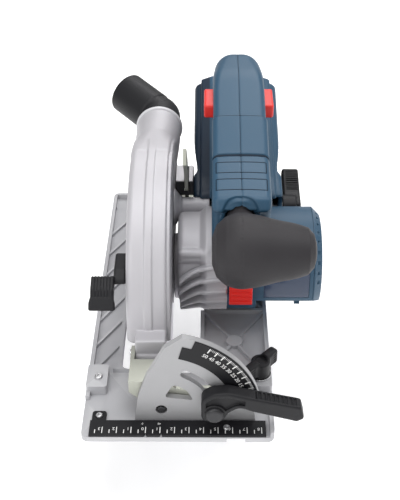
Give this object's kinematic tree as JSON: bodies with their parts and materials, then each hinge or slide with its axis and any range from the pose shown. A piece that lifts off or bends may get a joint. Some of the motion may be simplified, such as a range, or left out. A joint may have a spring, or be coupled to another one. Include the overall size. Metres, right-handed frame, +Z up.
{
  "type": "battery circular saw",
  "caption": "Battery circular saw with a ribbed base, tilting and swinging head, spring-closed lower blade guard, dust elbow, looped handle and cross grip, for cutting panels on a guide rail.",
  "frame": {"origin": "on the sole of the base, in the plane of the blade, 25 mm behind the base's front edge", "axes": "+Z up from the sole, +Y towards the user along the cut, +X towards the motor"},
  "size_m": [0.172, 0.3226, 0.2391],
  "materials": {
    "cast_alloy": "sand-blasted die casting, satin",
    "bright_alloy": "machined, satin",
    "zinc_steel": "zinc plated, slightly green",
    "steel": "turned steel",
    "blade_steel": "ground steel",
    "lower_guard_alloy": "satin",
    "blue_plastic": "fine moulded texture, petrol blue",
    "navy_panel": "smooth film",
    "black_plastic": "fine moulded texture",
    "shaft_steel": "turned steel",
    "scale_black": "black anodised with white marks",
    "rubber_grip": "soft-touch, matt",
    "red_plastic": "moulded, semi-gloss",
    "motor_iron": "laminated iron",
    "board_green": "coated board"
  },
  "bodies": {
    "base": {"base_plate": "cast_alloy", "ruler_strip": "scale_black", "strip_screws": "steel", "guide_set_screw": "steel", "bevel_quadrant": "bright_alloy", "quadrant_screws": "steel", "bevel_scale": "scale_black", "rear_bevel_bracket": "bright_alloy", "guide_washer": "steel"},
    "guide_screw": {"guide_wing_screw": "black_plastic"},
    "tilt_bracket": {"bevel_bracket": "zinc_steel", "hinge_pin": "steel", "hinge_circlip": "zinc_steel", "bevel_pivot_bolts": "steel", "rear_tilt_bracket": "zinc_steel", "strip_rivets": "zinc_steel", "depth_strip": "zinc_steel"},
    "bevel_lever": {"bevel_clamp_lever": "black_plastic", "bevel_clamp_bolt": "steel", "bevel_clamp_washer": "steel"},
    "saw_head": {"upper_guard": "cast_alloy", "duct_collar": "cast_alloy", "gear_housing": "cast_alloy", "bearing_cover": "steel", "cover_screws": "steel", "spindle_bearings": "steel", "motor_bearings": "steel", "stator": "motor_iron", "motor_housing": "blue_plastic", "rating_panel": "navy_panel", "motor_end_cap": "blue_plastic", "cap_screws": "steel", "handle_left_shell": "blue_plastic", "handle_right_shell": "blue_plastic", "shell_screws": "steel", "trigger_switch": "black_plastic", "electronics_board": "board_green", "battery_terminals": "black_plastic", "front_grip": "rubber_grip", "depth_strip_guide": "black_plastic"},
    "dust_outlet": {"dust_elbow": "black_plastic"},
    "lower_guard": {"lower_guard": "lower_guard_alloy"},
    "guard_lever": {"guard_finger_lever": "black_plastic"},
    "blade_set": {"blade": "blade_steel", "outer_flange": "steel", "inner_flange": "steel", "blade_bolt": "steel", "spindle": "steel", "spindle_gear": "steel"},
    "rotor_set": {"pinion_shaft": "steel", "rotor": "motor_iron", "fan": "black_plastic"},
    "spindle_lock": {"spindle_lock_button": "red_plastic"},
    "trigger": {"trigger": "black_plastic"},
    "lock_off": {"lock_off_bar": "red_plastic"},
    "depth_lever": {"depth_clamp_shaft": "shaft_steel", "depth_clamp_lever": "black_plastic"},
    "battery": {"battery_pack": "black_plastic"},
    "battery_release": {"battery_release_button": "red_plastic"}
  },
  "joints": [
    {"name": "bevel_tilt", "type": "hinge", "parent": "base", "child": "tilt_bracket", "pos_m": [0.0108, 0, 0.015], "axis": [0, -1, 0], "range_deg": [0, 50]},
    {"name": "depth_swing", "type": "hinge", "parent": "tilt_bracket", "child": "saw_head", "pos_m": [0, 0.029, 0.031], "axis": [1, 0, 0], "range_deg": [0, 35]},
    {"name": "guide_screw_turn", "type": "hinge", "parent": "base", "child": "guide_screw", "pos_m": [0.0805, 0.027, 0.02], "axis": [0, 0, 1], "range_deg": [-360, 360]},
    {"name": "bevel_lever_swing", "type": "hinge", "parent": "tilt_bracket", "child": "bevel_lever", "pos_m": [0.04744, -0.012, 0.02346], "axis": [0, -1, 0], "range_deg": [0, 70]},
    {"name": "dust_elbow_swivel", "type": "hinge", "parent": "saw_head", "child": "dust_outlet", "pos_m": [0.002, 0.235, 0.103], "axis": [0, 1, 0], "range_deg": [-60, 60]},
    {"name": "lower_guard_swing", "type": "hinge", "parent": "saw_head", "child": "lower_guard", "pos_m": [0, 0.137, 0.027], "axis": [1, 0, 0], "range_deg": [0, 145], "stiffness_Nm_per_rad": 0.25, "springref_deg": -34.38},
    {"name": "guard_lever_lift", "type": "hinge", "parent": "saw_head", "child": "guard_lever", "pos_m": [-0.018, 0.08, 0.076], "axis": [-1, 0, 0], "range_deg": [0, 40]},
    {"name": "blade_spin", "type": "hinge", "parent": "saw_head", "child": "blade_set", "pos_m": [0, 0.137, 0.027], "axis": [1, 0, 0], "continuous": true},
    {"name": "rotor_spin", "type": "hinge", "parent": "saw_head", "child": "rotor_set", "pos_m": [0, 0.11895, 0.04937], "axis": [1, 0, 0], "continuous": true},
    {"name": "spindle_lock_push", "type": "slide", "parent": "saw_head", "child": "spindle_lock", "axis": [0, 1, 0], "range_m": [0, 0.003], "stiffness_N_per_m": 1200, "springref_m": -0.001},
    {"name": "trigger_pull", "type": "hinge", "parent": "saw_head", "child": "trigger", "pos_m": [0.066, 0.147, 0.125], "axis": [1, 0, 0], "range_deg": [0, 10], "stiffness_Nm_per_rad": 1.5, "springref_deg": -5.73},
    {"name": "lock_off_slide", "type": "slide", "parent": "saw_head", "child": "lock_off", "axis": [1, 0, 0], "range_m": [-0.004, 0.004], "stiffness_N_per_m": 900},
    {"name": "depth_lever_swing", "type": "hinge", "parent": "saw_head", "child": "depth_lever", "pos_m": [0.105, 0.16581, 0.06511], "axis": [1, 0, 0], "range_deg": [-8, 55]},
    {"name": "battery_slide", "type": "slide", "parent": "saw_head", "child": "battery", "axis": [0, 1, 0], "range_m": [0, 0.09]},
    {"name": "battery_release_push", "type": "slide", "parent": "battery", "child": "battery_release", "axis": [0, -1, 0], "range_m": [0, 0.003], "stiffness_N_per_m": 1200, "springref_m": -0.001}
  ],
  "couplings": [
    {"joint": "rotor_spin", "follows": "blade_spin", "ratio": -3.1818},
    {"joint": "guard_lever_lift", "follows": "lower_guard_swing", "ratio": 0.24}
  ]
}
